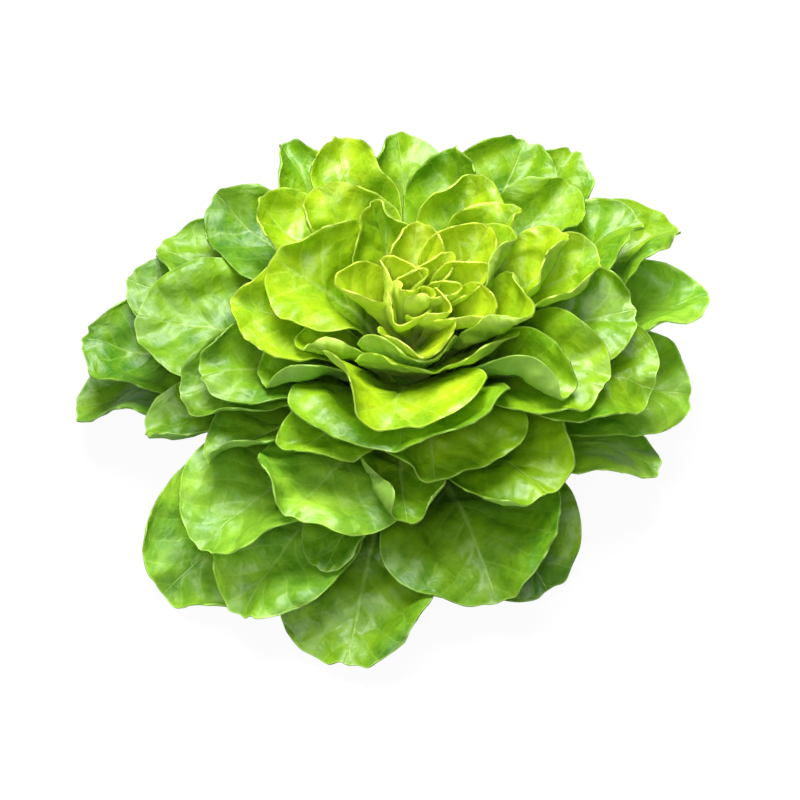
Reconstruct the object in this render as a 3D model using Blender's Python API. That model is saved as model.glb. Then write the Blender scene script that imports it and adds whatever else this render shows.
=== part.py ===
"""A head of round-leaved salad lettuce, cut off at the base and standing on its cut stem.

The stem is a short tapering stump. The leaves stand on it one above the other, the oldest lowest and
flattest, the youngest highest and most upright, and the smallest are grown together in the heart. A leaf
that would pass through another is bent clear of it: in a head, each younger leaf lies on the inner face of
the older ones beneath it.
"""

import math
import random
from dataclasses import dataclass

import bpy
import numpy as np
from mathutils.bvhtree import BVHTree

# The stem's axis is Z, its cut face is at z = 0, and -Y is the front. Lengths are in metres unless a comment
# says otherwise. A turned profile holds (height, radius) pairs.
STEM_PROFILE = ((0.0, 0.0150), (0.004, 0.0165), (0.020, 0.0160), (0.048, 0.0115), (0.058, 0.0085))
STEM_SIDES = 24
CORE_PROFILE = ((0.0583, 0.0080), (0.068, 0.0085), (0.082, 0.0040))
CORE_SIDES = 12
SIGHT_HEIGHT = 0.016  # the directions of the leaf tips are measured from this point on the axis

# The leaves that stand on the stem. Each row: the direction of the tip, as its azimuth from the front towards
# +X and its rise above the horizontal, in degrees; its reach in mm; the blade's width in mm; then in degrees
# the lean of the stalk and of the tip above the horizontal, and how far the sides curl up.
LEAVES = (
    (32, -7, 109, 58, 6, -20, 20),
    (-12, -4, 134, 74, 10, -25, 30),
    (-47, -3, 142, 68, 12, -15, 40),
    (19, -1, 112, 84, 14, -25, 40),
    (-92, 0, 150, 60, 12, -10, 30),
    (-34, 0, 133, 60, 14, -20, 30),
    (71, 3, 114, 56, 20, -10, 40),
    (-120, 4, 136, 68, 10, -15, 30),
    (178, 5, 132, 74, 12, -15, 30),
    (-20, 5, 107, 42, 22, -20, 60),
    (88, 6, 124, 60, 18, -10, 30),
    (-45, 6, 125, 68, 22, -25, 50),
    (-101, 7, 149, 64, 22, -5, 40),
    (-73, 11, 122, 52, 32, -5, 110),
    (-152, 13, 130, 60, 18, -5, 40),
    (-110, 13, 138, 58, 26, 10, 40),
    (108, 17, 141, 56, 30, 10, 40),
    (-114, 19, 134, 58, 36, 15, 50),
    (-31, 19, 109, 78, 40, -20, 40),
    (117, 19, 145, 60, 34, 15, 40),
    (-52, 19, 112, 48, 38, 0, 70),
    (37, 19, 99, 60, 40, -10, 100),
    (146, 20, 145, 50, 42, 25, 50),
    (-2, 21, 98, 78, 46, 12, 105),
    (77, 22, 114, 68, 45, -10, 50),
    (-93, 22, 129, 68, 42, 5, 50),
    (-78, 23, 113, 52, 44, -10, 50),
    (155, 26, 137, 56, 50, 35, 50),
    (-132, 29, 130, 50, 46, 30, 50),
    (-36, 29, 99, 50, 48, -10, 60),
    (-147, 32, 134, 44, 54, 45, 60),
    (118, 31, 132, 54, 50, 20, 50),
    (93, 31, 115, 52, 50, 0, 50),
    (-71, 31, 111, 46, 52, 0, 60),
    (66, 33, 104, 60, 52, -10, 60),
    (6, 33, 93, 78, 52, 10, 40),
    (135, 35, 123, 54, 56, 35, 60),
    (-162, 39, 127, 42, 62, 60, 60),
    (-176, 37, 126, 48, 60, 65, 60),
    (-5, 38, 97, 94, 58, 5, 42),
    (54, 38, 101, 50, 56, -15, 70),
    (169, 39, 119, 48, 60, 60, 60),
    (-60, 39, 94, 48, 52, 5, 60),
    (104, 43, 112, 56, 60, 30, 60),
    (-88, 44, 108, 60, 60, 40, 60),
    (-8, 45, 99, 80, 62, -5, 35),
    (-58, 54, 94, 56, 62, 50, 60),
    (-103, 54, 107, 80, 66, 60, 45),
    (16, 61, 92, 78, 66, 78, 45),
    (68, 62, 98, 76, 66, 76, 65),
    (-129, 43, 118, 46, 62, 60, 60),
    (157, 46, 110, 44, 64, 66, 60),
    (110, 48, 111, 46, 62, 45, 60),
    (-142, 51, 112, 48, 66, 58, 60),
    (136, 55, 105, 44, 66, 58, 60),
    (-150, 63, 103, 40, 70, 64, 70),
    (-4, 72, 93, 54, 72, 72, 50),
    (124, 68, 99, 44, 72, 60, 70),
)

WIDER = 1.15  # blades are this much wider than what shows of them
SMALL_LEAVES = 14
GOLDEN_ANGLE = 137.508  # degrees from each small leaf to the next
HEART_LEAN = 0.010  # the heart's middle lies this far from the stem's axis, towards +X
SEED = 18
HEART_SEED = 12

# The room that each foot has on the stem, round it and along it, and each tip, round and up, in degrees.
FIRST_FOOT = 0.009
LAST_FOOT = 0.054
FOOT_WIDTH = 0.0085
FOOT_ROOM = (0.0105, 0.0034)
TIP_ROOM = (23, 6.5)
LOWEST_RISE = -6
HIGHEST_RISE = 72

CLEARANCE = 0.0003
BLADE_THICKNESS = 0.0009
RIB_THICKNESS = 0.0024

# Leaves keep apart while they grow. They start narrow and are full grown after a share of the rounds.
ROUNDS = 90
FIRST_SHARE = 0.15
FULL_GROWN = 0.7
AIR = 0.0013  # wanted between two faces
LOOK = 0.012  # how far off a leaf looks for its neighbours
STEP = 0.003  # the longest move in one round
DEEP = 0.0015  # leaves that press on each other by more than this stay a little smaller
SMALLER = 0.998
SAME_PART = 60  # leaves within this many degrees of each other lie over the same part of the head
SURE_HEIGHT = 0.006
TRIMS = 30
TRIM_SHARE = 0.05

# A spoon-shaped leaf: how far along it each station lies, and its half width there as a share of the widest.
STATIONS = (0.0, 0.18, 0.34, 0.47, 0.60, 0.74, 0.88, 1.0)
HALF_WIDTHS = (0.20, 0.30, 0.52, 0.82, 0.98, 1.00, 0.88, 0.58)
ROW_BOW = 0.055  # how far the tip bulges past the edges, as a share of the length

OLD_GREEN = (0.10, 0.24, 0.03)
YOUNG_GREEN = (0.50, 0.70, 0.07)
STEM_COLOUR = (0.62, 0.70, 0.38)


@dataclass
class Leaf:
    """How one leaf grows: angles in degrees, lengths in metres."""

    name: str
    azimuth: float
    rise: float
    reach: float
    width: float
    start_lean: float
    tip_lean: float
    cup: float
    fold: float
    flare: float
    roll: float
    wave: float
    waves: float
    phase: float
    foot_azimuth: float
    foot_height: float
    foot_radius: float
    rows: int
    columns: int
    in_heart: bool


def between(low, high, share):
    return low + (high - low) * share


def stem_radius(height):
    heights, radii = zip(*STEM_PROFILE)
    return float(np.interp(height, heights, radii))


def unit(vector):
    return vector / np.linalg.norm(vector, axis=-1, keepdims=True)


def outward(azimuth, lean):
    """The direction at these angles, in degrees."""
    a, e = math.radians(azimuth), math.radians(lean)
    return np.array([math.sin(a) * math.cos(e), -math.cos(a) * math.cos(e), math.sin(e)])


def turn_between(a, b):
    """The angle from azimuth b to azimuth a, from -180 to 180 degrees."""
    return (a - b + 180) % 360 - 180


def placed_leaf(row, age, draw):
    """The leaf of one row of the table. Its age runs from 0, the oldest, to 1."""
    azimuth, rise, reach, width, start_lean, tip_lean, cup = row
    return Leaf(
        name="",
        azimuth=azimuth,
        rise=rise,
        reach=reach / 1000,
        width=width / 1000 * WIDER,
        start_lean=start_lean,
        tip_lean=tip_lean,
        cup=cup * 0.85 + draw.uniform(-8, 34),
        fold=between(8, 22, age),
        flare=draw.uniform(10, 60),
        roll=draw.uniform(-28, 28),
        wave=draw.uniform(0.0015, 0.0045),
        waves=draw.uniform(1.5, 3.0),
        phase=draw.uniform(0, 360),
        foot_azimuth=azimuth,
        foot_height=0.0,
        foot_radius=0.0,
        rows=6,
        columns=6 if width > 53 else 4,
        in_heart=False,
    )


def small_leaf(index, draw):
    """A small leaf of the heart, which the growing spiral puts at this place."""
    age = index / (SMALL_LEAVES - 1)
    return Leaf(
        name=f"small_{index:02d}",
        azimuth=index * GOLDEN_ANGLE,
        rise=between(63, 85, age),
        reach=between(0.098, 0.084, age),
        width=between(0.046, 0.022, age),
        start_lean=between(64, 82, age),
        tip_lean=between(60, 84, age),
        cup=between(55, 100, age),
        fold=20,
        flare=15,
        roll=draw.uniform(-20, 20),
        wave=0.0015,
        waves=draw.uniform(1.5, 2.5),
        phase=draw.uniform(0, 360),
        foot_azimuth=index * GOLDEN_ANGLE,
        foot_height=between(0.062, 0.076, age),
        foot_radius=between(0.0050, 0.0025, age),
        rows=4,
        columns=4,
        in_heart=True,
    )


def parting(apart, above):
    """How far each of two neighbours moves, and which way, when they are closer than 1 to each other."""
    distance = math.hypot(apart, above)
    if distance >= 1:
        return 0.0, 0.0, 0.0
    if distance == 0:
        return 0.25, 0.0, 1.0
    return (1 - distance) / 4, apart / distance, above / distance


def spread_feet(leaves):
    """Moves the feet apart on the stem, round it and along it, until each has room."""
    wide, high = FOOT_ROOM
    for _ in range(200):
        for k, one in enumerate(leaves):
            for other in leaves[:k]:
                radius = stem_radius((one.foot_height + other.foot_height) / 2)
                turn = math.radians(turn_between(one.foot_azimuth, other.foot_azimuth))
                above = one.foot_height - other.foot_height
                push, round_it, up = parting(turn * radius / wide, above / high)
                one.foot_height += push * up * high
                other.foot_height -= push * up * high
                one.foot_azimuth += math.degrees(push * round_it * wide / radius)
                other.foot_azimuth -= math.degrees(push * round_it * wide / radius)
        for leaf in leaves:
            leaf.foot_height = min(max(leaf.foot_height, FIRST_FOOT), LAST_FOOT)
    for leaf in leaves:
        leaf.foot_radius = stem_radius(leaf.foot_height) + CLEARANCE


def spread_tips(leaves):
    """Moves tips apart where two leaves would lie in one place, then sorts the leaves by their rise."""
    wide, high = TIP_ROOM
    for _ in range(60):
        for k, one in enumerate(leaves):
            for other in leaves[:k]:
                flat = math.cos(math.radians((one.rise + other.rise) / 2))
                turn = turn_between(one.azimuth, other.azimuth) * flat
                push, round_it, up = parting(turn / wide, (one.rise - other.rise) / high)
                one.rise += push * up * high
                other.rise -= push * up * high
                one.azimuth += push * round_it * wide / flat / 2
                other.azimuth -= push * round_it * wide / flat / 2
        for leaf in leaves:
            leaf.rise = min(max(leaf.rise, LOWEST_RISE), HIGHEST_RISE)
    leaves.sort(key=lambda leaf: leaf.rise)


def midrib(leaf, share):
    """Points on the rib: a cubic curve that leaves the stem at start_lean and ends at tip_lean."""
    root = outward(leaf.foot_azimuth, 0) * leaf.foot_radius
    root[2] = leaf.foot_height
    tip = outward(leaf.azimuth, leaf.rise) * leaf.reach
    tip[2] += SIGHT_HEIGHT
    tip[0] += HEART_LEAN * max(0.0, math.sin(math.radians(leaf.rise))) ** 6
    span = np.linalg.norm(tip - root)
    first = root + outward(leaf.foot_azimuth, leaf.start_lean) * span * 0.40
    second = tip - outward(leaf.azimuth, leaf.tip_lean) * span * 0.36
    s = np.asarray(share)[..., None]
    near, far = 3 * s * (1 - s) ** 2, 3 * s**2 * (1 - s)
    return (1 - s) ** 3 * root + near * first + far * second + s**3 * tip


def leaf_grid(leaf):
    """The leaf's middle surface: rows of points from the stem to the tip, each from the left edge to the right."""
    along = np.interp(np.linspace(0, 1, leaf.rows + 1), np.linspace(0, 1, len(STATIONS)), STATIONS)
    across = np.linspace(-1, 1, leaf.columns + 1)
    bow = ROW_BOW * np.clip(along[:, None] * 2, 0, 1) * across[None, :] ** 2
    share = along[:, None] - bow
    spine = midrib(leaf, share)
    heading = unit(midrib(leaf, share + 0.01) - midrib(leaf, share - 0.01))
    side = unit(np.cross(heading, [0, 0, 1.0]))
    up = np.cross(side, heading)
    roll = np.radians(leaf.roll) * along[:, None, None] ** 1.5
    side, up = side * np.cos(roll) + up * np.sin(roll), up * np.cos(roll) - side * np.sin(roll)
    half = leaf.width / 2 * np.interp(along, STATIONS, HALF_WIDTHS)[:, None]
    fine = np.linspace(0, 1, 25)
    bend = np.radians(leaf.fold * np.tanh(fine / 0.2) + leaf.cup * fine - leaf.flare * fine**3)
    middle = (bend[1:] + bend[:-1]) / 2
    out_run = np.concatenate([[0], np.cumsum(np.cos(middle))]) / 24
    up_run = np.concatenate([[0], np.cumsum(np.sin(middle))]) / 24
    opened = np.clip(along / 0.4, 0.35, 1)[:, None]
    shift = np.sign(across) * np.interp(abs(across), fine, out_run)
    lift = np.interp(abs(across), fine, up_run)
    beat = math.radians(leaf.phase) + 2 * math.pi * leaf.waves * along[:, None] + (across > 0) * 2.1
    ripple = leaf.wave * np.sin(beat) * across**2 * along[:, None]
    points = spine + side * (half * shift)[..., None] + up * (half * lift * opened + ripple)[..., None]
    points[0] = root_row(leaf, across)
    return points


def root_row(leaf, across):
    """The leaf's foot, which follows the stem round."""
    width = 0.004 if leaf.in_heart else FOOT_WIDTH
    radius = leaf.foot_radius + 0.0008
    turn = -np.degrees(width / 2 * across / radius)
    row = np.array([outward(leaf.foot_azimuth + t, 0) * radius for t in turn])
    row[:, 2] = leaf.foot_height
    return row


def thickness_of(leaf):
    """Thickness at each grid point: thin blade and edges, a thick rib that fades towards the tip."""
    along = np.linspace(0, 1, leaf.rows + 1)[:, None]
    across = np.linspace(-1, 1, leaf.columns + 1)[None, :]
    rib = (1 - along) ** 1.5 * np.clip(1 - 1.6 * abs(across), 0, 1)
    return BLADE_THICKNESS + (RIB_THICKNESS - BLADE_THICKNESS) * rib


def grid_triangles(rows, columns):
    """Triangles of a grid's inner face, with the diagonals mirrored about the rib."""
    made = []
    for r in range(rows):
        for c in range(columns):
            a, b = r * (columns + 1) + c, r * (columns + 1) + c + 1
            d, e = a + columns + 1, b + columns + 1
            if c < columns // 2:
                made += [(a, b, e), (a, e, d)]
            else:
                made += [(a, b, d), (b, e, d)]
    return made


def samples_of(rows, columns, fine):
    """The places where a leaf is tested, each the mean of four grid points.

    They are the grid points themselves and, if fine, the middles of the edges and of the cells.
    """
    n = columns + 1
    picks = [(k, k, k, k) for k in range(n, (rows + 1) * n)]
    if fine:
        for r in range(rows):
            for c in range(columns):
                a = r * n + c
                picks.append((a, a + 1, a + n, a + n + 1))
                if r:
                    picks.append((a, a, a + 1, a + 1))
                picks.append((a, a, a + n, a + n))
            last = r * n + columns
            picks.append((last, last, last + n, last + n))
        for c in range(columns):
            a = rows * n + c
            picks.append((a, a, a + 1, a + 1))
    return np.array(picks)


def side_of(leaves, moved, other, heights):
    """The side of the other leaf where this one lies: 1 for its inner face, -1 for its outer.

    Over the same part of the head the younger leaf is inside. Elsewhere most of the leaf decides.
    """
    if abs(turn_between(leaves[moved].azimuth, leaves[other].azimuth)) < SAME_PART:
        return 1.0 if other < moved else -1.0
    return 1.0 if np.clip(np.array(heights) / SURE_HEIGHT, -1, 1).sum() >= 0 else -1.0


def bend_clear(leaves, grids):
    """Bends leaves until each lies clear on its own side of the others."""
    faces = [grid_triangles(leaf.rows, leaf.columns) for leaf in leaves]
    half = [thickness_of(leaf).ravel() / 2 for leaf in leaves]
    grown = grids
    rest = [g if leaf.in_heart else narrowed(g, FIRST_SHARE) for leaf, g in zip(leaves, grown)]
    slim = [1.0] * len(leaves)
    grids = list(rest)
    for step in range(ROUNDS):
        late = step / ROUNDS
        flat = [grid.reshape(-1, 3) for grid in grids]
        picks = [samples_of(leaf.rows, leaf.columns, late > FULL_GROWN) for leaf in leaves]
        spots = [f[p].mean(axis=1) for f, p in zip(flat, picks)]
        trees = [BVHTree.FromPolygons(f.tolist(), t) for f, t in zip(flat, faces)]
        lows, highs = [f.min(0) for f in flat], [f.max(0) for f in flat]
        push = [np.zeros_like(f) for f in flat]
        hits = [np.zeros(len(f)) for f in flat]
        for j, moved in enumerate(leaves):
            for i, other in enumerate(leaves):
                if i == j or (moved.in_heart and other.in_heart):
                    continue
                inside = (spots[j] > lows[i] - 0.003) & (spots[j] < highs[i] + 0.003)
                near = []
                for v in np.nonzero(inside.all(axis=1))[0]:
                    found, normal, face, far = trees[i].find_nearest(spots[j][v].tolist(), LOOK)
                    if found is not None:
                        away = spots[j][v] - np.array(found)
                        near.append((v, away, np.array(normal), face, far))
                if not near:
                    continue
                heights = [away @ normal for _, away, normal, _, _ in near]
                side = side_of(leaves, j, i, heights)
                for v, away, normal, face, far in near:
                    corners = faces[i][face]
                    gap = half[j][picks[j][v]].max() + half[i][list(corners)].max() + AIR
                    normal = normal * side
                    height = away @ normal
                    if abs(height) > 0.8 * far or far < 1e-6:
                        need, way = gap - height, normal
                    else:
                        need, way = gap - far, away / far
                    if need <= 0:
                        continue
                    if late > FULL_GROWN and need > DEEP:
                        slim[j] *= SMALLER
                        slim[i] *= SMALLER
                    for k in picks[j][v]:
                        push[j][k] += way * need * 0.125
                        hits[j][k] += 0.25
                    for k in corners:
                        push[i][k] -= way * need * 0.22
                        hits[i][k] += 0.5
        share = min(1.0, between(FIRST_SHARE, 1.0, (step + 1) / ROUNDS / FULL_GROWN))
        for k, leaf in enumerate(leaves):
            if leaf.in_heart:
                continue
            move = push[k] / np.maximum(1, hits[k])[:, None] ** 0.5
            size = np.linalg.norm(move, axis=1, keepdims=True)
            move *= np.minimum(1, STEP / np.maximum(size, 1e-9))
            drift = grids[k] + move.reshape(grids[k].shape) - rest[k]
            drift = smoothed(drift, between(0.5, 0.3, late))
            drift[0] = 0
            rest[k] = narrowed(grown[k], share * slim[k])
            grids[k] = clear_of_stem(leaf, rest[k] + drift)
    return grids


def narrowed(grid, share):
    """The leaf with its blade this share of its width, gathered towards the rib."""
    rib = grid[:, grid.shape[1] // 2, None]
    slim = rib + (grid - rib) * share
    slim[0] = grid[0]
    return slim


def smoothed(field, share):
    """A grid of vectors, each moved this share of the way to the mean of its neighbours."""
    wide = np.pad(field, ((1, 1), (1, 1), (0, 0)), mode="reflect", reflect_type="odd")
    mean = (wide[:-2, 1:-1] + wide[2:, 1:-1] + wide[1:-1, :-2] + wide[1:-1, 2:]) / 4
    return field + (mean - field) * share


def clear_of_stem(leaf, grid):
    """The grid with every point past the foot kept off the stem and off what the head stands on."""
    if leaf.in_heart:
        return grid
    points = grid.copy()
    radial = np.linalg.norm(points[1:, :, :2], axis=2)
    heights, radii = zip(*STEM_PROFILE)
    least = np.interp(points[1:, :, 2], heights, radii, right=0.0) + 0.0022
    points[1:, :, :2] *= np.maximum(1, least / radial)[..., None]
    points[1:, :, 2] = np.maximum(points[1:, :, 2], 0.0022)
    return points


def grow():
    """Every leaf and its middle surface, the lowest leaf first."""
    draw = random.Random(SEED)
    rows = sorted(LEAVES, key=lambda row: row[1])
    leaves = [placed_leaf(row, k / (len(rows) - 1), draw) for k, row in enumerate(rows)]
    spread_tips(leaves)
    for k, leaf in enumerate(leaves):
        leaf.name = f"leaf_{k + 1:02d}"
        leaf.foot_azimuth = leaf.azimuth
        leaf.foot_height = between(FIRST_FOOT, LAST_FOOT, k / (len(leaves) - 1))
    spread_feet(leaves)
    draw = random.Random(HEART_SEED)
    leaves += [small_leaf(k, draw) for k in range(SMALL_LEAVES)]
    grids = [leaf_grid(leaf) for leaf in leaves]
    return leaves, trim_crossings(leaves, bend_clear(leaves, grids))


def trim_crossings(leaves, grids):
    """Draws in, towards the rib, what is left of a blade's edge that touches another leaf."""
    for _ in range(TRIMS):
        shapes = [leaf_shape(leaf, grid, CLEARANCE) for leaf, grid in zip(leaves, grids)]
        trees = [BVHTree.FromPolygons(points.tolist(), faces) for points, faces in shapes]
        touched = [set() for _ in leaves]
        for j, moved in enumerate(leaves):
            for i in range(j):
                if moved.in_heart and leaves[i].in_heart:
                    continue
                for a, b in trees[j].overlap(trees[i]):
                    touched[j].update(k % grids[j][..., 0].size for k in shapes[j][1][a])
                    touched[i].update(k % grids[i][..., 0].size for k in shapes[i][1][b])
        if not any(touched):
            break
        for k, leaf in enumerate(leaves):
            if leaf.in_heart:
                continue
            for spot in touched[k]:
                row, column = divmod(spot, leaf.columns + 1)
                if row:
                    rib = grids[k][row, leaf.columns // 2]
                    grids[k][row, column] += (rib - grids[k][row, column]) * TRIM_SHARE
    return grids


def leaf_shape(leaf, grid, thicker=0.0):
    """Points and faces of the leaf's solid: a sheet on each side of the middle surface, and a rim."""
    rows, columns = leaf.rows, leaf.columns
    down = np.gradient(grid, axis=0)
    over = np.gradient(grid, axis=1)
    facing = unit(np.cross(over, down))
    half = (thickness_of(leaf)[..., None] + thicker) / 2
    inner, outer = grid + facing * half, grid - facing * half
    if not leaf.in_heart:
        for sheet in (inner, outer):
            reach = np.array([stem_radius(z) + CLEARANCE for z in sheet[0, :, 2]])
            sheet[0, :, :2] *= (reach / np.linalg.norm(sheet[0, :, :2], axis=1))[:, None]
    points = np.concatenate([inner.reshape(-1, 3), outer.reshape(-1, 3)])
    count = (rows + 1) * (columns + 1)
    upper = grid_triangles(rows, columns)
    lower = [(c + count, b + count, a + count) for a, b, c in upper]
    edge = list(range(columns + 1))
    edge += [r * (columns + 1) + columns for r in range(1, rows + 1)]
    edge += [rows * (columns + 1) + c for c in range(columns - 1, -1, -1)]
    edge += [r * (columns + 1) for r in range(rows - 1, 0, -1)]
    rim = []
    for a, b in zip(edge, edge[1:] + edge[:1]):
        rim += [(b, a, a + count), (b, a + count, b + count)]
    return points, upper + lower + rim


def turned_shape(profile, sides):
    """Points and faces of a solid turned about Z from (height, radius) pairs, closed by flat ends."""
    round_it = [outward(360 * k / sides, 0) for k in range(sides)]
    points = [way * radius + [0, 0, height] for height, radius in profile for way in round_it]
    faces = [tuple(range(sides))[::-1]]
    for ring in range(len(profile) - 1):
        for k in range(sides):
            a, b = ring * sides + k, ring * sides + (k + 1) % sides
            faces.append((a, b, b + sides, a + sides))
    faces.append(tuple((len(profile) - 1) * sides + k for k in range(sides)))
    return np.array(points), faces


def add_object(name, shape, colour, roughness):
    points, faces = shape
    mesh = bpy.data.meshes.new(name)
    mesh.from_pydata([tuple(point) for point in points], [], faces)
    material = bpy.data.materials.new(name)
    material.use_nodes = True
    surface = material.node_tree.nodes["Principled BSDF"]
    surface.inputs["Base Color"].default_value = (*colour, 1)
    surface.inputs["Roughness"].default_value = roughness
    surface.inputs["Metallic"].default_value = 0
    mesh.materials.append(material)
    made = bpy.data.objects.new(name, mesh)
    bpy.context.scene.collection.objects.link(made)
    return made


def fuse(body, others):
    """Joins the other objects to the body as one solid, and removes them."""
    group = bpy.data.collections.new("fused")
    for other in others:
        group.objects.link(other)
    join = body.modifiers.new("fuse", "BOOLEAN")
    join.operation = "UNION"
    join.operand_type = "COLLECTION"
    join.collection = group
    join.solver = "MANIFOLD"
    bpy.context.view_layer.objects.active = body
    bpy.ops.object.modifier_apply(modifier=join.name)
    for other in others:
        bpy.data.objects.remove(other)
    bpy.data.collections.remove(group)


def leaf_colour(age):
    """Dark green for the oldest leaf, pale yellow-green for the youngest."""
    return [between(old, young, age**1.5) for old, young in zip(OLD_GREEN, YOUNG_GREEN)]


for startup in list(bpy.data.objects):
    bpy.data.objects.remove(startup)

leaves, grids = grow()
add_object("stem", turned_shape(STEM_PROFILE, STEM_SIDES), STEM_COLOUR, 0.5)
heart = add_object("heart", turned_shape(CORE_PROFILE, CORE_SIDES), YOUNG_GREEN, 0.4)
heart_leaves = []
for place, (leaf, grid) in enumerate(zip(leaves, grids)):
    made = add_object(leaf.name, leaf_shape(leaf, grid), leaf_colour(place / len(leaves)), 0.4)
    if leaf.in_heart:
        heart_leaves.append(made)
fuse(heart, heart_leaves)
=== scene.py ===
"""The looks of a head of round-leaved salad lettuce, standing on its cut stem on a pale studio floor."""

import math
import random

import bmesh
import bpy
import numpy as np
from mathutils.bvhtree import BVHTree
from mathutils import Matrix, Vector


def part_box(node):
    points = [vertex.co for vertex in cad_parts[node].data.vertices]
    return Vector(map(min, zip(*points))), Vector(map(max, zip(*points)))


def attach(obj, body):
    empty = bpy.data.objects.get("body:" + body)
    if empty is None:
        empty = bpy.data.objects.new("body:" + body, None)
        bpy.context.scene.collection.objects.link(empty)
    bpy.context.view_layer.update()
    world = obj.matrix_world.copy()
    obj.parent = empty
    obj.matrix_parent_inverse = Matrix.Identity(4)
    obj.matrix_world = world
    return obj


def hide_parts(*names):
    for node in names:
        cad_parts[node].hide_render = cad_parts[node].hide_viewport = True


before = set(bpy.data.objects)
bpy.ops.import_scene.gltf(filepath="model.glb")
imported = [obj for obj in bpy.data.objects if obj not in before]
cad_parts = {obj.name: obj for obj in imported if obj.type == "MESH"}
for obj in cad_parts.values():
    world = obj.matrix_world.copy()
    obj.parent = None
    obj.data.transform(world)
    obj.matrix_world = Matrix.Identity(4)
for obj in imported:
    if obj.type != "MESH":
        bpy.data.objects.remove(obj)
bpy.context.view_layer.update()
bpy.ops.object.select_all(action="DESELECT")


# The stem: a stump of pale, juicy stalk, cut straight across with a knife. The cut has dried a little at its
# skin and shows the ring of bundles that fed the leaves. Every leaf grows out of its side.
STEM_SIDES = 72
STEM_RINGS = 14
CUT_INSETS = (0.10, 0.18, 0.24, 0.24, 0.18)
STEM_DENT = 0.0005
CUT_DISH = 0.0012
DISH_REACH = 0.85
CUT_CREAM = (0.62, 0.60, 0.33, 1)
CUT_BROWN = (0.33, 0.17, 0.055, 1)
STALK_GREEN = (0.46, 0.56, 0.20, 1)
# A dark green painted on the stem's side higher up: painted shade under the leaf bases.
PAINTED_STEM_SHADE = (0.10, 0.26, 0.01, 1)
# Where one colour passes into the next: three distances from the axis on the cut, then two heights;
# the last is where the stem's side darkens into painted shade under the leaves.
BUNDLES_BEGIN = (0.0085, 0.0105)
BUNDLES_END = (0.0112, 0.0128)
DRIED_SKIN = (0.0142, 0.0172)
CUT_TO_SIDE = (0.0012, 0.0040)
SIDE_TO_PAINTED_SHADE = (0.012, 0.030)


def node(tree, kind, inputs=None, **settings):
    """A shader node with its settings and inputs; an input is a value, or the socket that feeds it."""
    made = tree.nodes.new(kind)
    for name, value in settings.items():
        setattr(made, name, value)
    for name, value in (inputs or {}).items():
        if isinstance(value, bpy.types.NodeSocket):
            tree.links.new(value, made.inputs[name])
        else:
            made.inputs[name].default_value = value
    return made


def calc(tree, operation, *values):
    """The result of a Math node."""
    return node(tree, "ShaderNodeMath", dict(enumerate(values)), operation=operation).outputs[0]


def step_between(tree, value, low, high):
    """A mask that rises smoothly from 0 at low to 1 at high."""
    sockets = {"Value": value, "From Min": low, "From Max": high}
    return node(tree, "ShaderNodeMapRange", sockets, interpolation_type="SMOOTHSTEP").outputs[0]


def blend(tree, share, first, second):
    """A colour between two others."""
    mix = node(tree, "ShaderNodeMix", data_type="RGBA", clamp_factor=True)
    for place, value in ((0, share), (6, first), (7, second)):
        if isinstance(value, bpy.types.NodeSocket):
            tree.links.new(value, mix.inputs[place])
        else:
            mix.inputs[place].default_value = value
    return mix.outputs[2]


def new_material(name):
    """A material, its node tree and its Principled BSDF."""
    material = bpy.data.materials.new(name)
    material.use_nodes = True
    return material, material.node_tree, material.node_tree.nodes["Principled BSDF"]


def stem_profile(heights):
    """Radii of the stem's solid at these heights."""
    points = np.array([v.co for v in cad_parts["stem"].data.vertices])
    levels = np.unique(np.round(points[:, 2], 5))
    radii = [np.hypot(*points[abs(points[:, 2] - z) < 1e-4][:, :2].T).max() for z in levels]
    return np.interp(heights, levels, radii)


low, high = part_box("stem")
bpy.ops.mesh.primitive_cylinder_add(
    vertices=STEM_SIDES, radius=1, depth=high.z - low.z, location=(0, 0, (low.z + high.z) / 2)
)
stem = bpy.context.object
stem.name = "cut_stem"
bpy.ops.object.transform_apply(location=True, rotation=True, scale=True)
bpy.ops.object.mode_set(mode="EDIT")
for ring in range(1, STEM_RINGS):
    bpy.ops.mesh.select_all(action="SELECT")
    ring_height = low.z + (high.z - low.z) * ring / STEM_RINGS
    bpy.ops.mesh.bisect(plane_co=(0, 0, ring_height), plane_no=(0, 0, 1))
bpy.ops.mesh.select_all(action="DESELECT")
bpy.ops.object.mode_set(mode="OBJECT")
for face in stem.data.polygons:
    face.select = abs(face.normal.z) > 0.9
bpy.ops.object.mode_set(mode="EDIT")
bpy.ops.mesh.select_mode(type="FACE")
for inset in CUT_INSETS:
    bpy.ops.mesh.inset(thickness=inset, use_relative_offset=False)
bpy.ops.object.mode_set(mode="OBJECT")

points = np.array([v.co for v in stem.data.vertices])
turn = np.arctan2(points[:, 1], points[:, 0])
share = np.hypot(points[:, 0], points[:, 1])
dents = np.sin(5 * turn + 60 * points[:, 2]) + 0.6 * np.sin(9 * turn - 140 * points[:, 2] + 1)
radius = stem_profile(points[:, 2]) - abs(STEM_DENT * dents)
points[:, :2] *= radius[:, None]
on_cut = points[:, 2] < low.z + 1e-4
points[on_cut, 2] += CUT_DISH * np.sqrt(np.maximum(0, DISH_REACH - share[on_cut]))
stem.data.vertices.foreach_set("co", points.astype(np.float32).ravel())
stem.data.update()
stem.data.shade_smooth()
stem.data.set_sharp_from_angle(angle=math.radians(50))

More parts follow.
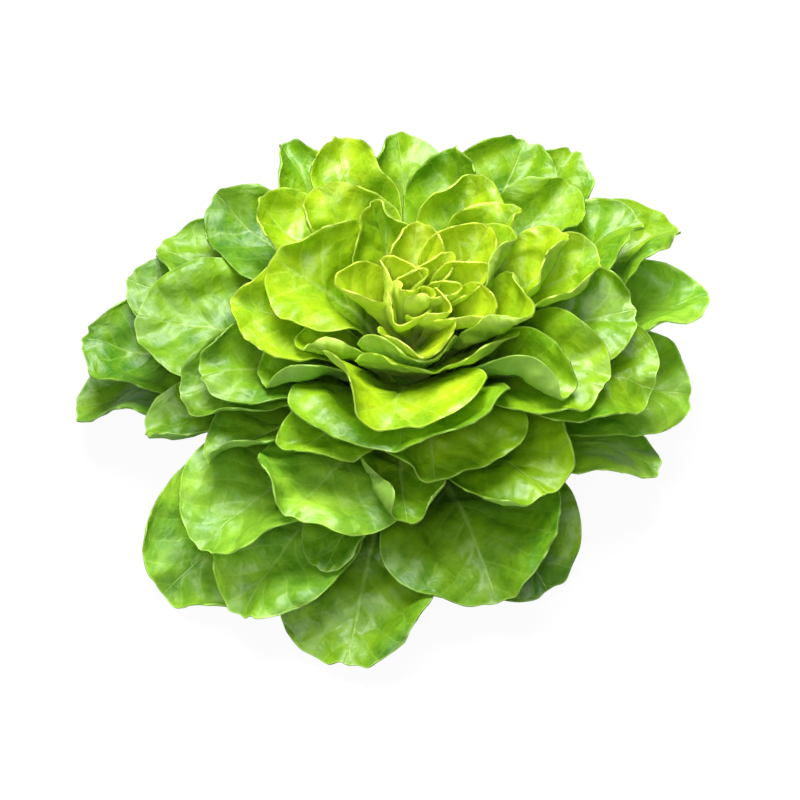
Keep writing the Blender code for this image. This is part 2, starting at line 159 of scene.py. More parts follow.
material, tree, surface = new_material("stem")
place = node(tree, "ShaderNodeTexCoord").outputs["Object"]
x, y, z = node(tree, "ShaderNodeSeparateXYZ", {0: place}).outputs
squares = calc(tree, "ADD", calc(tree, "MULTIPLY", x, x), calc(tree, "MULTIPLY", y, y))
from_axis = calc(tree, "SQRT", squares)
grain = node(tree, "ShaderNodeTexNoise", {"Vector": place, "Scale": 260.0, "Detail": 5.0}).outputs[0]
cells = node(tree, "ShaderNodeTexVoronoi", {"Vector": place, "Scale": 900.0}).outputs[0]
past_ring = step_between(tree, from_axis, *BUNDLES_END)
ring_mask = calc(
    tree, "MULTIPLY", step_between(tree, from_axis, *BUNDLES_BEGIN), calc(tree, "SUBTRACT", 1.0, past_ring)
)
bundles = calc(tree, "MULTIPLY", ring_mask, step_between(tree, grain, 0.42, 0.58))
ragged = calc(tree, "ADD", from_axis, calc(tree, "MULTIPLY", grain, 0.003))
dried = step_between(tree, ragged, *DRIED_SKIN)
cut = blend(tree, calc(tree, "MULTIPLY", bundles, 0.55), CUT_CREAM, STALK_GREEN)
cut = blend(tree, calc(tree, "MULTIPLY", dried, 0.75), cut, CUT_BROWN)
cut = blend(tree, calc(tree, "MULTIPLY", grain, 0.35), cut, CUT_BROWN)
side = blend(tree, grain, STALK_GREEN, CUT_CREAM)
# Painted shade: the side darkens towards a dark green higher up, where the leaves cover it.
side = blend(tree, step_between(tree, z, *SIDE_TO_PAINTED_SHADE), side, PAINTED_STEM_SHADE)
colour = blend(tree, step_between(tree, z, *CUT_TO_SIDE), cut, side)
tree.links.new(colour, surface.inputs["Base Color"])
surface.inputs["Roughness"].default_value = 0.5
surface.inputs["Subsurface Weight"].default_value = 0.15
surface.inputs["Subsurface Radius"].default_value = (0.003, 0.003, 0.001)
relief = calc(tree, "ADD", grain, cells)
bump = node(tree, "ShaderNodeBump", {"Strength": 0.5, "Distance": 0.0004, "Height": relief})
tree.links.new(bump.outputs[0], surface.inputs["Normal"])
stem.data.materials.append(material)
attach(stem, "root")
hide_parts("stem")


# The leaves: thin blistered blades with a pale rib, which grow out of the stem's side, the oldest lowest,
# flattest and darkest, the youngest most upright and yellowest. Each is drawn over the middle surface of its
# solid, then given its waved margin, the dips along its veins, its thickness and the rib on its lower face.
SEED = 5
FINE_COLUMNS = 48
FINE_ROWS = 60
CROWDING = 1.25  # how much the columns crowd towards the rib
SHORTEST_EDGE = 0.00097  # a solid's two faces have longer edges than this, its rim has shorter ones
MM = 1000  # a blade's own places reach its material in millimetres
BLADE_THICKNESS = 0.0006
RIB_DEPTH = 0.0026
RIB_WIDTH = 0.0042
VEIN_SPACING = 0.0125
VEIN_SLOPE = 1.05
VEIN_DIP = 0.00045
VEIN_DEPTH = 0.00025
MARGIN_WAVE = 0.0044
MARGIN_REACH = 0.016
LOBES = 0.012
SWELL = 0.0033
SWELL_SIZE = 0.040
SMALL_SWELL = 0.18
SMALL_SWELL_SIZE = 0.016
ROOM_SHARE = 0.48  # of the room up to the next leaf, how much a wave may take
NEIGHBOUR_HALF = 0.0011
LEAST_ROOM = 0.0002
draw = random.Random(SEED)


def leaf_middle(leaf_node, stem_tree):
    """The middle surface of a leaf's solid: rows of points from foot to tip, each from edge to edge."""
    mesh = bmesh.new()
    mesh.from_mesh(leaf_node.data)
    bmesh.ops.remove_doubles(mesh, verts=mesh.verts, dist=1e-5)
    by_distance = sorted(mesh.verts, key=lambda v: stem_tree.find_nearest(v.co)[3])
    # Across each of its two faces, a wide leaf's solid has 7 vertices and a narrow one's 5.
    columns = 7 if len(mesh.verts) > 80 else 5
    foot = set(by_distance[: 2 * columns])
    faces = [
        f for f in mesh.faces
        if not foot.issuperset(f.verts) and min(e.calc_length() for e in f.edges) > SHORTEST_EDGE
    ]
    sheets = [sheet_grid(faces, foot)]
    used = {v for row in sheets[0] for v in row}
    sheets.append(sheet_grid([f for f in faces if f.verts[0] not in used], foot))
    first, second = (np.array([[v.co for v in row] for row in sheet]) for sheet in sheets)
    mesh.free()
    if np.linalg.norm(first[2, 0] - second[2, 0]) > np.linalg.norm(first[2, 0] - second[2, -1]):
        second = second[:, ::-1]
    across = (first - second)[:3].mean(axis=(0, 1))
    out = first[1].mean(axis=0) * (1, 1, 0)
    if across @ ([0, 0, 1] - out / np.linalg.norm(out)) < 0:
        first, second = second, first
    middle = (first + second) / 2
    facing = np.cross(np.gradient(middle, axis=1), np.gradient(middle, axis=0))
    if ((first - second) * facing).sum() < 0:
        middle = middle[:, ::-1]
    return middle


def sheet_grid(faces, foot):
    """The rows of vertices of one face of a leaf, found by walking over its triangles from the foot."""
    touching = {}
    for face in faces:
        for edge in face.edges:
            touching.setdefault(edge, []).append(face)
    start = next(f for f in faces if foot.intersection(f.verts))
    sheet, waiting = {start}, [start]
    while waiting:
        for edge in waiting.pop().edges:
            for face in touching[edge]:
                if face not in sheet:
                    sheet.add(face)
                    waiting.append(face)
    corners = {v for face in sheet for v in face.verts}
    near = {v: {e.other_vert(v) for e in v.link_edges} & corners for v in corners}
    row, seen, rows = set(near) & foot, set(), []
    while row:
        rows.append(in_line(row, near))
        seen |= row
        row = {b for a in row for b in near[a]} - seen
    for upper, lower in zip(rows, rows[1:]):
        if lower[0] not in near[upper[0]]:
            lower.reverse()
    return rows


def in_line(row, near):
    """A row's vertices in order from one edge to the other."""
    line = [next(v for v in row if len(near[v] & row) == 1)]
    while len(line) < len(row):
        line.append(next(v for v in near[line[-1]] & row if v not in line))
    return line


def curve_weights(count, at):
    """The share of each of count points in a smooth curve through them, at places from 0 to count - 1."""
    first = np.clip(np.floor(at), 0, count - 2).astype(int)
    f = at - first
    parts = (
        (-0.5 * f + f**2 - 0.5 * f**3),
        (1 - 2.5 * f**2 + 1.5 * f**3),
        (0.5 * f + 2 * f**2 - 1.5 * f**3),
        (-0.5 * f**2 + 0.5 * f**3),
    )
    weights = np.zeros((len(at), count + 2))
    for k, part in enumerate(parts):
        weights[np.arange(len(at)), first + k] += part
    weights[:, 1] += 2 * weights[:, 0]
    weights[:, 2] -= weights[:, 0]
    weights[:, -2] += 2 * weights[:, -1]
    weights[:, -3] -= weights[:, -1]
    return weights[:, 1:-1]


def waves(x, y, size, rng):
    """Soft random hills and hollows, mostly from -1 to 1 and about this size across: five crossing waves."""
    total = np.zeros_like(x)
    for _ in range(5):
        angle, phase = rng.uniform(0, math.pi), rng.uniform(0, 2 * math.pi)
        length = size * rng.uniform(0.7, 1.5)
        total += np.sin((x * math.cos(angle) + y * math.sin(angle)) * 2 * math.pi / length + phase)
    return total / 2.6


def soft_step(value, low, high):
    """From 0 at low smoothly to 1 at high."""
    t = np.clip((value - low) / (high - low), 0, 1)
    return t * t * (3 - 2 * t)


def eased(grid, share, times):
    """The grid with its bends eased: each point past the foot moves towards the mean of its neighbours."""
    for _ in range(times):
        wide = np.pad(grid, ((1, 1), (1, 1), (0, 0)), mode="reflect", reflect_type="odd")
        mean = (wide[:-2, 1:-1] + wide[2:, 1:-1] + wide[1:-1, :-2] + wide[1:-1, 2:]) / 4
        grid = np.concatenate([grid[:1], (grid + (mean - grid) * share)[1:]])
    return grid


def grid_object(name, columns, rows):
    """A flat grid, with each point's place across it, from -1 to 1, and along it, from 0 to 1."""
    bpy.ops.mesh.primitive_grid_add(x_subdivisions=columns, y_subdivisions=rows, size=2)
    made = bpy.context.object
    made.name = name
    flat = np.array([v.co for v in made.data.vertices])
    return made, flat[:, 0], (flat[:, 1] + 1) / 2


def normals_of(grid):
    """The normal of the upper face at each point of a grid of rows."""
    facing = np.cross(np.gradient(grid, axis=1), np.gradient(grid, axis=0))
    return facing / np.maximum(np.linalg.norm(facing, axis=2, keepdims=True), 1e-12)


def lay_out(u, v, middle, rng):
    """A blade's points on its leaf's middle surface, with soft lobes, and the bearing of each point."""
    columns = len(np.unique(np.round(u, 5)))
    u = 0.6 * np.sign(u) * abs(u) ** CROWDING + 0.4 * np.sin(u * math.pi / 2)
    v = 0.7 * v**0.9 + 0.3 * np.sin(v * math.pi / 2)
    corner = u**4 * v**7
    bearing = np.arctan2(u, (v - 0.55) * 1.6)
    lobes = sum(rng.uniform(0.3, 1) * np.sin(k * bearing + rng.uniform(0, 6.3)) for k in (2, 4, 7, 13)) / 2
    edge = np.maximum(abs(u) ** 6, v**10) * soft_step(v, 0.25, 0.55)
    u_at = u * (1 - 0.10 * corner + LOBES * (lobes - 0.6) * edge)
    v_at = v * (1 - 0.06 * corner + LOBES * (lobes - 0.6) * edge)
    middle = eased(middle, 0.35, 2)
    row_weights = curve_weights(middle.shape[0], v_at * (middle.shape[0] - 1))
    column_weights = curve_weights(middle.shape[1], (u_at + 1) / 2 * (middle.shape[1] - 1))
    points = np.einsum("nr,nc,rck->nk", row_weights, column_weights, middle)
    return points.reshape(-1, columns, 3), bearing.reshape(-1, columns)


def measured(blade):
    """Each point's distance from the rib, from the foot along the rib, and from the margin."""
    rib = blade.shape[1] // 2
    along = np.cumsum(np.linalg.norm(np.diff(blade[:, rib], axis=0), axis=1))
    steps = np.linalg.norm(np.diff(blade, axis=1), axis=2)
    x = np.concatenate([np.zeros((len(blade), 1)), np.cumsum(steps, axis=1)], axis=1)
    x -= x[:, rib, None]
    y = np.repeat(np.append(0, along)[:, None], blade.shape[1], axis=1)
    outline = np.concatenate([blade[:, 0], blade[-1], blade[:, -1]])
    apart = ((blade.reshape(-1, 1, 3) - outline) ** 2).sum(axis=2)
    return x, y, np.sqrt(apart.min(axis=1)).reshape(x.shape)


def crumpled(x, y, to_margin, bearing, crumple, rng):
    """How far each point stands off the middle surface, and how far from a vein it is, from 0 to 1."""
    share = y / y[-1, 0]
    near_margin = np.exp(-to_margin / MARGIN_REACH) * soft_step(share, 0.25, 0.6)
    ruffle = sum(rng.uniform(0.4, 1) * np.sin(k * bearing + rng.uniform(0, 6.3)) for k in (2, 3, 5)) / 1.6
    bend = y - VEIN_SLOPE * abs(x) + 0.003 * waves(x, y, 0.05, rng)
    beat = bend / VEIN_SPACING + 0.5 * (x > 0)
    off_vein = abs(beat - np.round(beat)) * 2
    past_foot = soft_step(share, 0.2, 0.5)
    dips = (off_vein**0.7 - 0.6) * np.clip(abs(x) / 0.006, 0, 1) * past_foot * (1 - 0.7 * near_margin)
    lift = crumple * (MARGIN_WAVE * ruffle * near_margin + VEIN_DIP * dips)
    swell = SWELL * waves(x, y, SWELL_SIZE, rng)
    swell += SMALL_SWELL * SWELL * waves(x, y, SMALL_SWELL_SIZE, rng)
    return lift + crumple * past_foot * swell, off_vein


def within_room(lift, blade, neighbours):
    """The lift, held to its share of the room between the blade and the leaves next to it."""
    nearest = [neighbours.find_nearest(p.tolist())[3] for p in blade.reshape(-1, 3)]
    room = np.array(nearest).reshape(lift.shape) - NEIGHBOUR_HALF
    most = eased(ROOM_SHARE * np.maximum(LEAST_ROOM, room)[..., None], 0.8, 10)[..., 0]
    return most * np.tanh(lift / most)


def thicken(leaf, blade, keel):
    """Gives the blade its wall, lets the ribs stand out below, and marks the lower face for its material."""
    wall = leaf.modifiers.new("thickness", "SOLIDIFY")
    wall.thickness = BLADE_THICKNESS
    wall.offset = 0
    bpy.ops.object.modifier_apply(modifier=wall.name)
    points = np.array([p.co for p in leaf.data.vertices])
    facing = normals_of(blade).reshape(-1, 3)
    count = len(facing)
    upper_first = ((points[:count] - blade.reshape(-1, 3)) * facing).sum() > 0
    lower = slice(count, None) if upper_first else slice(0, count)
    points[lower] -= facing * keel.reshape(-1, 1)
    leaf.data.vertices.foreach_set("co", points.astype(np.float32).ravel())
    under = np.zeros(len(points), np.float32)
    under[lower] = 1
    leaf.data.attributes.new("under", "FLOAT", "POINT").data.foreach_set("value", under)


def shape_blade(leaf, u, v, middle, rng, neighbours, crumple):
    """Moves a flat grid onto a leaf's middle surface and gives it margin, veins, thickness and rib."""
    blade, bearing = lay_out(u, v, middle, rng)
    x, y, to_margin = measured(blade)
    lift, off_vein = crumpled(x, y, to_margin, bearing, crumple, rng)
    if neighbours:
        lift = within_room(lift, blade, neighbours)
    blade += normals_of(blade) * lift[..., None]
    leaf.data.vertices.foreach_set("co", blade.astype(np.float32).ravel())

    share = y / y[-1, 0]
    for label, values in (("along", share), ("margin", to_margin * MM)):
        values = values.astype(np.float32).ravel()
        leaf.data.attributes.new(label, "FLOAT", "POINT").data.foreach_set("value", values)
    own_pattern = np.full(x.shape, rng.uniform(0, 900))
    places = np.stack([x * MM, y * MM, own_pattern], axis=2).astype(np.float32).ravel()
    leaf.data.attributes.new("blade", "FLOAT_VECTOR", "POINT").data.foreach_set("vector", places)
    leaf.data.update()

    slender = (1 - share) ** 1.2
    keel = RIB_DEPTH * slender * np.exp(-((x / (RIB_WIDTH * (0.25 + 0.75 * slender))) ** 2))
    keel += VEIN_DEPTH * (1 - soft_step(off_vein, 0.1, 0.4)) * soft_step(share, 0.2, 0.5)
    thicken(leaf, blade, keel)
    leaf.data.update()
    leaf.data.shade_smooth()
    leaf.data.set_sharp_from_angle(angle=math.radians(60))


def tree_of(nodes):
    """One search tree over the triangles of several meshes."""
    points, faces = [], []
    for one in nodes:
        start = len(points)
        points += [tuple(v.co) for v in one.data.vertices]
        faces += [[start + k for k in f.vertices] for f in one.data.polygons]
    return BVHTree.FromPolygons(points, faces)


# One node group draws the veins of all leaves, in millimetres on the blade: a rib that tapers, a fan of side
# veins that alternate on its two sides, a net of two sizes between them, and the blisters that it bounds.
group = bpy.data.node_groups.new("lettuce_veins", "ShaderNodeTree")
for name, kind, way in (
    ("Blade", "NodeSocketVector", "INPUT"), ("Along", "NodeSocketFloat", "INPUT"),
    ("Rib", "NodeSocketFloat", "OUTPUT"), ("Veins", "NodeSocketFloat", "OUTPUT"),
    ("Net", "NodeSocketFloat", "OUTPUT"), ("Blister", "NodeSocketFloat", "OUTPUT"),
):
    group.interface.new_socket(name, in_out=way, socket_type=kind)
given = node(group, "NodeGroupInput").outputs
told = node(group, "NodeGroupOutput")
noise = node(group, "ShaderNodeTexNoise", {"Vector": given["Blade"], "Scale": 0.05, "Detail": 2.0})
wander = {0: noise.outputs["Color"], 1: (0.5, 0.5, 0.5)}
centred = node(group, "ShaderNodeVectorMath", wander, operation="SUBTRACT")
shift = node(group, "ShaderNodeVectorMath", {0: centred.outputs[0], 1: (9.0, 9.0, 0.0)}, operation="MULTIPLY")
moved = node(group, "ShaderNodeVectorMath", {0: given["Blade"], 1: shift.outputs[0]}, operation="ADD")
true_x = node(group, "ShaderNodeSeparateXYZ", {0: given["Blade"]}).outputs[0]
wide_x, wide_y, _ = node(group, "ShaderNodeSeparateXYZ", {0: moved.outputs[0]}).outputs
thinner = calc(group, "POWER", given["Along"], 0.55)
rib_edge = node(group, "ShaderNodeMapRange", {"Value": thinner, "To Min": 5.0, "To Max": 0.25}).outputs[0]
off_rib = calc(group, "DIVIDE", calc(group, "ABSOLUTE", true_x), rib_edge)
rib_mask = calc(group, "SUBTRACT", 1.0, calc(group, "MINIMUM", 1.0, off_rib))
out_from_rib = calc(group, "ABSOLUTE", wide_x)
rising = calc(group, "SUBTRACT", wide_y, calc(group, "MULTIPLY", out_from_rib, VEIN_SLOPE))
side_shift = calc(group, "MULTIPLY", calc(group, "GREATER_THAN", true_x, 0.0), 0.5)
beat = calc(group, "ADD", calc(group, "DIVIDE", rising, VEIN_SPACING * MM), side_shift)
off_vein = calc(group, "PINGPONG", beat, 0.5)
vein_widths = {"Value": out_from_rib, "From Max": 38.0, "To Min": 0.08, "To Max": 0.025}
vein_edge = node(group, "ShaderNodeMapRange", vein_widths).outputs[0]
vein_mask = calc(group, "SUBTRACT", 1.0, step_between(group, off_vein, 0.0, vein_edge))
cells = node(group, "ShaderNodeTexVoronoi", {0: moved.outputs[0], "Scale": 0.11}, feature="DISTANCE_TO_EDGE")
small = node(group, "ShaderNodeTexVoronoi", {0: moved.outputs[0], "Scale": 0.30}, feature="DISTANCE_TO_EDGE")
net = calc(group, "SUBTRACT", 1.0, step_between(group, cells.outputs[0], 0.0, 0.05))
small_net = calc(group, "SUBTRACT", 1.0, step_between(group, small.outputs[0], 0.0, 0.10))
net_mask = calc(group, "MAXIMUM", calc(group, "MULTIPLY", net, 0.6), calc(group, "MULTIPLY", small_net, 0.4))
dome = step_between(group, cells.outputs[0], 0.0, 0.60)
between_veins = step_between(group, off_vein, 0.0, 0.45)
fine_dome = calc(group, "MULTIPLY", step_between(group, small.outputs[0], 0.0, 0.5), 0.12)
blister = calc(group, "ADD", calc(group, "MULTIPLY", calc(group, "ADD", dome, between_veins), 0.6), fine_dome)
for name, value in (("Rib", rib_mask), ("Veins", vein_mask), ("Net", net_mask), ("Blister", blister)):
    group.links.new(value, told.inputs[name])

PALE_STALK = (0.56, 0.76, 0.18, 1)
UNDER_ROUGHNESS = 0.58
LIGHT_THROUGH = 0.37


def leaf_material(name, shade, sunny, shine):
    """A leaf's skin: two greens, painted shade near the foot of the upper face, paler veins, margin, stalk
    and underside.
    """
    material, tree, surface = new_material(name)

    def attribute(label, socket="Fac"):
        return node(tree, "ShaderNodeAttribute", attribute_name=label).outputs[socket]

    def noise(fine, detail):
        return node(tree, "ShaderNodeTexNoise", {"Vector": blade, "Scale": fine, "Detail": detail}).outputs[0]

    blade, along = attribute("blade", "Vector"), attribute("along")
    margin, under = attribute("margin"), attribute("under")
    veins = node(tree, "ShaderNodeGroup", {}, node_tree=group)
    tree.links.new(blade, veins.inputs["Blade"])
    tree.links.new(along, veins.inputs["Along"])
    rib_mask, vein_mask, net_mask, blister = veins.outputs

    patches, mottle, flecks = noise(0.03, 4.0), noise(0.14, 3.0), noise(0.5, 4.0)
    light = calc(tree, "MULTIPLY", step_between(tree, patches, 0.30, 0.70), 0.72)
    light = calc(tree, "ADD", light, calc(tree, "MULTIPLY", step_between(tree, mottle, 0.35, 0.65), 0.28))
    light = calc(tree, "ADD", light, calc(tree, "MULTIPLY", calc(tree, "SUBTRACT", flecks, 0.5), 0.5))
    green = blend(tree, light, shade, sunny)
    upper = calc(tree, "SUBTRACT", 1.0, under)
    # Painted shade: the upper face darkens towards the foot, where the leaves above would shade it.
    painted_foot_shade = calc(tree, "MULTIPLY", upper, calc(tree, "SUBTRACT", 1.0, step_between(tree, along, 0.25, 0.75)))
    foot_shade_green = (shade[0] * 0.35, shade[1] * 0.45, 0.0, 1)
    green = blend(tree, calc(tree, "MULTIPLY", painted_foot_shade, 0.85), green, foot_shade_green)

    pale = (min(1, sunny[0] * 1.1 + 0.12), min(1, sunny[1] * 1.1 + 0.10), sunny[2] + 0.10, 1)
    green = blend(tree, calc(tree, "MULTIPLY", net_mask, 0.24), green, pale)
    green = blend(tree, calc(tree, "MULTIPLY", vein_mask, 0.25), green, pale)
    foot = calc(tree, "SUBTRACT", 1.0, step_between(tree, along, 0.05, 0.35))
    paler = calc(tree, "ADD", 0.4, calc(tree, "MULTIPLY", under, 0.4))
    green = blend(tree, calc(tree, "MULTIPLY", foot, paler), green, PALE_STALK)
    rib = calc(tree, "MULTIPLY", step_between(tree, rib_mask, 0.0, 0.8), paler)
    green = blend(tree, rib, green, PALE_STALK)
    at_margin = calc(tree, "SUBTRACT", 1.0, step_between(tree, margin, 0.2, 0.9))
    green = blend(tree, calc(tree, "MULTIPLY", at_margin, 0.65), green, pale)
    pale_under = (sunny[0] * 0.65 + 0.16, sunny[1] * 0.65 + 0.24, sunny[2] + 0.12, 1)
    colour = blend(tree, calc(tree, "MULTIPLY", under, 0.50), green, pale_under)
    tree.links.new(colour, surface.inputs["Base Color"])

    dull = node(tree, "ShaderNodeMapRange", {"Value": under, "To Min": shine, "To Max": UNDER_ROUGHNESS})
    rough = calc(tree, "ADD", dull.outputs[0], calc(tree, "MULTIPLY", flecks, 0.08))
    tree.links.new(rough, surface.inputs["Roughness"])
    surface.inputs["Specular IOR Level"].default_value = 0.8
    outwards = calc(tree, "SUBTRACT", 1.0, calc(tree, "MULTIPLY", under, 1.8))
    height = calc(tree, "MULTIPLY", blister, outwards)
    height = calc(tree, "ADD", height, calc(tree, "MULTIPLY", rib_mask, -0.2))
    bump = node(tree, "ShaderNodeBump", {"Strength": 0.8, "Distance": 0.0009, "Height": height})
    tree.links.new(bump.outputs[0], surface.inputs["Normal"])

    glow = blend(tree, 0.5, colour, (sunny[0] * 1.1, min(1, sunny[1] * 1.2), 0.0, 1))
    through = node(tree, "ShaderNodeBsdfTranslucent", {"Color": glow, "Normal": bump.outputs[0]})
    mix = node(tree, "ShaderNodeMixShader", {0: LIGHT_THROUGH, 1: surface.outputs[0], 2: through.outputs[0]})
    tree.links.new(mix.outputs[0], tree.nodes["Material Output"].inputs["Surface"])
    return material


outer_skin = leaf_material("outer_leaf", (0.055, 0.230, 0.002, 1), (0.28, 0.52, 0.006, 1), 0.42)
# A paler copy of the outer leaves' skin: painted light, for outer leaves on the lit sides.
painted_light_skin = leaf_material("far_leaf", (0.14, 0.38, 0.012, 1), (0.44, 0.72, 0.040, 1), 0.41)
middle_skin = leaf_material("middle_leaf", (0.095, 0.31, 0.0, 1), (0.38, 0.62, 0.005, 1), 0.38)
inner_skin = leaf_material("inner_leaf", (0.20, 0.44, 0.0, 1), (0.59, 0.77, 0.008, 1), 0.37)

# The solids are numbered from the lowest leaf up. An outer leaf that reaches far to the right, or far to
# the front on the left, gets a paler green: painted light on those sides. A middle leaf that reaches far to
# the left gets the outer leaves' darker green: painted shade on that side.
LAST_OUTER = 20
LAST_MIDDLE = 42
PAINTED_LIGHT_RIGHT = 0.085
PAINTED_LIGHT_LEFT = -0.065
PAINTED_LIGHT_FRONT = -0.090
PAINTED_SHADE_LEFT = -0.085

stem_tree = tree_of([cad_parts["stem"]])
leaf_nodes = [n for name, n in sorted(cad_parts.items()) if name.startswith("leaf_")]
for number, leaf_node in enumerate(leaf_nodes, start=1):
    low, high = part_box(leaf_node.name)
    if number <= LAST_OUTER:
        painted_light_side = high.x > PAINTED_LIGHT_RIGHT or (low.x < PAINTED_LIGHT_LEFT and low.y < PAINTED_LIGHT_FRONT)
        slot, skin = "outer_leaf", painted_light_skin if painted_light_side else outer_skin
    elif number <= LAST_MIDDLE:
        # Painted shade: a middle leaf far to the left takes the darker outer skin.
        slot, skin = "middle_leaf", outer_skin if low.x < PAINTED_SHADE_LEFT else middle_skin
    else:
        slot, skin = "inner_leaf", inner_skin
    neighbours = tree_of([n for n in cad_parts.values() if n is not leaf_node and n.name != "stem"])
    leaf, u, v = grid_object(f"blade_{number:02d}", FINE_COLUMNS, FINE_ROWS)
    shape_blade(leaf, u, v, leaf_middle(leaf_node, stem_tree), draw, neighbours, crumple=1.0)
    leaf.data.materials.append(skin)
    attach(leaf, "root")
    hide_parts(leaf_node.name)


# The heart: the youngest leaves, curled tight round the growing tip on a short core. They stand on a spiral,
# each a golden angle further round, smaller and more upright than the last.
YOUNG_LEAVES = 14
YOUNG_SEED = 12
GOLDEN_ANGLE = 137.508
HEART_LEAN = 0.010
REACH_HEIGHT = 0.016  # the leaves' reach is measured from this height on the stem's axis
YOUNG_ROWS = 8
YOUNG_COLUMNS = 6
FINE_YOUNG_COLUMNS = 24
FINE_YOUNG_ROWS = 32
CURL_STEPS = 24
STATIONS = (0.0, 0.18, 0.34, 0.47, 0.60, 0.74, 0.88, 1.0)
HALF_WIDTHS = (0.20, 0.30, 0.52, 0.82, 0.98, 1.00, 0.88, 0.58)
YOUNG_CRUMPLE = 0.2
CORE_FOOT_RADIUS = 0.0075
CORE_TIP_RADIUS = 0.003
CORE_LENGTH = 0.022
CORE_MIDDLE = 0.0695
CORE_ROUNDING = 0.0015


def outward(azimuth, lean):
    """The direction at these angles, in degrees: the azimuth from -Y towards +X, and the lean above level."""
    a, e = math.radians(azimuth), math.radians(lean)
    return np.array([math.sin(a) * math.cos(e), -math.cos(a) * math.cos(e), math.sin(e)])


def young_leaf(place, rng):
    """The middle surface of one of the heart's leaves, as rows of points like those of leaf_middle."""
    age = place / (YOUNG_LEAVES - 1)
    azimuth = place * GOLDEN_ANGLE
    rise, lean, tip_lean = 63 + 22 * age, 64 + 18 * age, 60 + 24 * age
    width, curl = 0.046 - 0.024 * age, 55 + 45 * age
    roll, beats, phase = rng.uniform(-20, 20), rng.uniform(1.5, 2.5), rng.uniform(0, 360)
    root = outward(azimuth, 0) * (0.0050 - 0.0025 * age) + [0, 0, 0.062 + 0.014 * age]
    tip = outward(azimuth, rise) * (0.098 - 0.014 * age) + [0, 0, REACH_HEIGHT]
    tip[0] += HEART_LEAN * math.sin(math.radians(rise)) ** 6
    span = np.linalg.norm(tip - root)
    first = root + outward(azimuth, lean) * span * 0.40
    second = tip - outward(azimuth, tip_lean) * span * 0.36

    def rib(s):
        s = s[..., None]
        return (1 - s) ** 3 * root + 3 * s * (1 - s) ** 2 * first + 3 * s**2 * (1 - s) * second + s**3 * tip

    along = np.linspace(0, 1, YOUNG_ROWS + 1)
    across = np.linspace(-1, 1, YOUNG_COLUMNS + 1)
    share = along[:, None] - 0.055 * np.clip(along[:, None] * 2, 0, 1) * across**2
    heading = rib(share + 0.01) - rib(share - 0.01)
    heading /= np.linalg.norm(heading, axis=2, keepdims=True)
    side = np.cross(heading, [0, 0, 1.0])
    side /= np.linalg.norm(side, axis=2, keepdims=True)
    up = np.cross(side, heading)
    turn = math.radians(roll) * along[:, None, None] ** 1.5
    side, up = side * np.cos(turn) + up * np.sin(turn), up * np.cos(turn) - side * np.sin(turn)
    half = width / 2 * np.interp(along, STATIONS, HALF_WIDTHS)[:, None]
    fine = np.linspace(0, 1, CURL_STEPS + 1)
    bend = np.radians(20 * np.tanh(fine / 0.2) + curl * fine - 15 * fine**3)
    middle = (bend[1:] + bend[:-1]) / 2
    level = np.append(0, np.cumsum(np.cos(middle))) / CURL_STEPS
    raised = np.append(0, np.cumsum(np.sin(middle))) / CURL_STEPS
    shift = np.sign(across) * np.interp(abs(across), fine, level)
    lift = np.interp(abs(across), fine, raised)
    ripple = np.sin(math.radians(phase) + 2 * math.pi * beats * along[:, None] + (across > 0) * 2.1)
    lift = half * lift * np.clip(along / 0.4, 0.35, 1)[:, None] + 0.0015 * ripple * across**2 * along[:, None]
    return rib(share) + side * (half * shift)[..., None] + up * lift[..., None]


heart_skin = leaf_material("heart", (0.40, 0.60, 0.006, 1), (0.74, 0.84, 0.020, 1), 0.37)
young = random.Random(YOUNG_SEED)
for place in range(YOUNG_LEAVES):
    middle = young_leaf(place, young)
    leaf, u, v = grid_object(f"heart_leaf_{place + 1:02d}", FINE_YOUNG_COLUMNS, FINE_YOUNG_ROWS)
    shape_blade(leaf, u, v, middle, draw, neighbours=None, crumple=YOUNG_CRUMPLE)
    leaf.data.materials.append(heart_skin)
    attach(leaf, "root")
    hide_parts("heart")

bpy.ops.mesh.primitive_cone_add(
    vertices=32,
    radius1=CORE_FOOT_RADIUS,
    radius2=CORE_TIP_RADIUS,
    depth=CORE_LENGTH,
    location=(0, 0, CORE_MIDDLE),
)
core = bpy.context.object
core.name = "heart_core"
bpy.ops.object.transform_apply(location=True, rotation=True, scale=True)
rounding = core.modifiers.new("round", "BEVEL")
rounding.width = CORE_ROUNDING
rounding.segments = 3
bpy.ops.object.modifier_apply(modifier=rounding.name)
core.data.shade_smooth()
core.data.materials.append(heart_skin)
for name in ("along", "margin", "under"):
    core.data.attributes.new(name, "FLOAT", "POINT")
core.data.attributes.new("blade", "FLOAT_VECTOR", "POINT")
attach(core, "root")
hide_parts("heart")


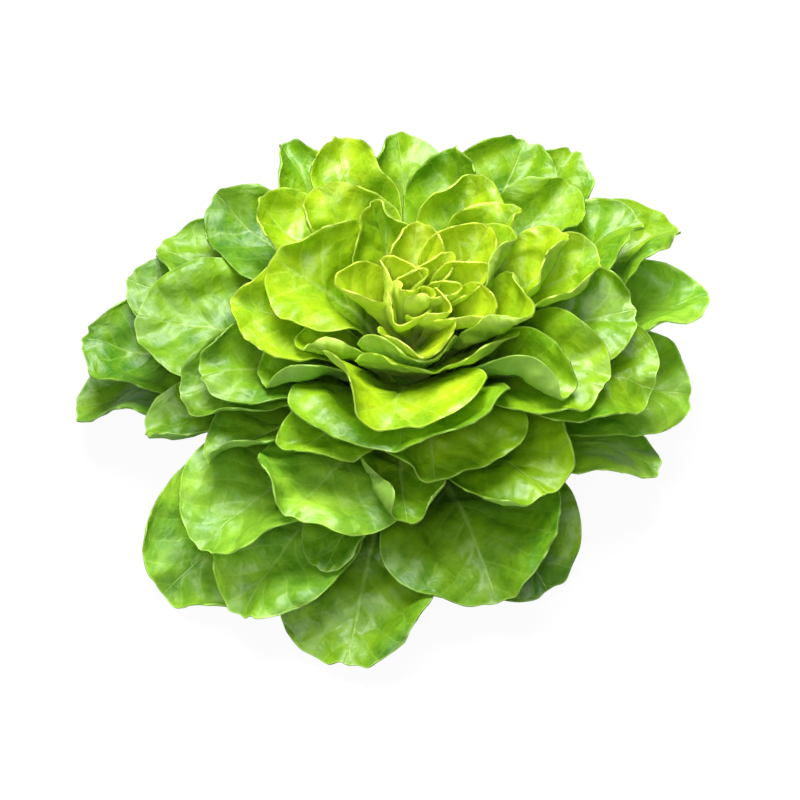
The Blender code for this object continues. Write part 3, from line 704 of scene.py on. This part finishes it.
# The studio: a pale floor that runs to the horizon, a large soft light high above and a little behind the
# head, so that light comes through its upright leaves, a weaker one in front, and the camera above the front.
FLOOR_SIZE = 30
FLOOR_GREY = (0.45, 0.45, 0.45, 1)
FLOOR_GLOW = 0.90  # how much of what the camera sees of the floor is its own even white
GLOW_STRENGTH = 1.05
WORLD_STRENGTH = 0.07
LIGHT_SIZE = 0.8
LIGHTS = {"key": ((-0.08, 0.42, 1.30), 38), "fill": ((-0.2, -1.0, 1.2), 13)}
CAMERA_RISE = 50
CAMERA_DISTANCE = 1.2
AIM = (-0.005, 0, 0.024)
LENS = 122.7

bpy.context.scene.view_settings.view_transform = "Standard"
bpy.ops.mesh.primitive_plane_add(size=FLOOR_SIZE, location=(0, 0, 0))
floor = bpy.context.object
floor.name = "floor"
material, tree, surface = new_material("floor")
surface.inputs["Base Color"].default_value = FLOOR_GREY
surface.inputs["Roughness"].default_value = 0.8
white = node(tree, "ShaderNodeEmission", {"Color": (1, 1, 1, 1), "Strength": GLOW_STRENGTH})
seen = calc(tree, "MULTIPLY", node(tree, "ShaderNodeLightPath").outputs["Is Camera Ray"], FLOOR_GLOW)
mix = node(tree, "ShaderNodeMixShader", {0: seen, 1: surface.outputs[0], 2: white.outputs[0]})
tree.links.new(mix.outputs[0], tree.nodes["Material Output"].inputs["Surface"])
floor.data.materials.append(material)

world = bpy.data.worlds.new("studio")
bpy.context.scene.world = world
world.use_nodes = True
world.node_tree.nodes["Background"].inputs["Color"].default_value = (1, 1, 1, 1)
world.node_tree.nodes["Background"].inputs["Strength"].default_value = WORLD_STRENGTH

for name, (place, power) in LIGHTS.items():
    lamp = bpy.data.lights.new(name, "AREA")
    lamp.size = LIGHT_SIZE
    lamp.energy = power
    holder = bpy.data.objects.new(name, lamp)
    bpy.context.scene.collection.objects.link(holder)
    holder.location = place
    holder.rotation_euler = (-holder.location).to_track_quat("-Z", "Y").to_euler()

camera = bpy.data.objects.new("camera", bpy.data.cameras.new("camera"))
bpy.context.scene.collection.objects.link(camera)
camera.data.lens = LENS
camera.location = (
    AIM[0],
    AIM[1] - CAMERA_DISTANCE * math.cos(math.radians(CAMERA_RISE)),
    AIM[2] + CAMERA_DISTANCE * math.sin(math.radians(CAMERA_RISE)),
)
camera.rotation_euler = (math.radians(90 - CAMERA_RISE), 0, 0)
bpy.context.scene.camera = camera
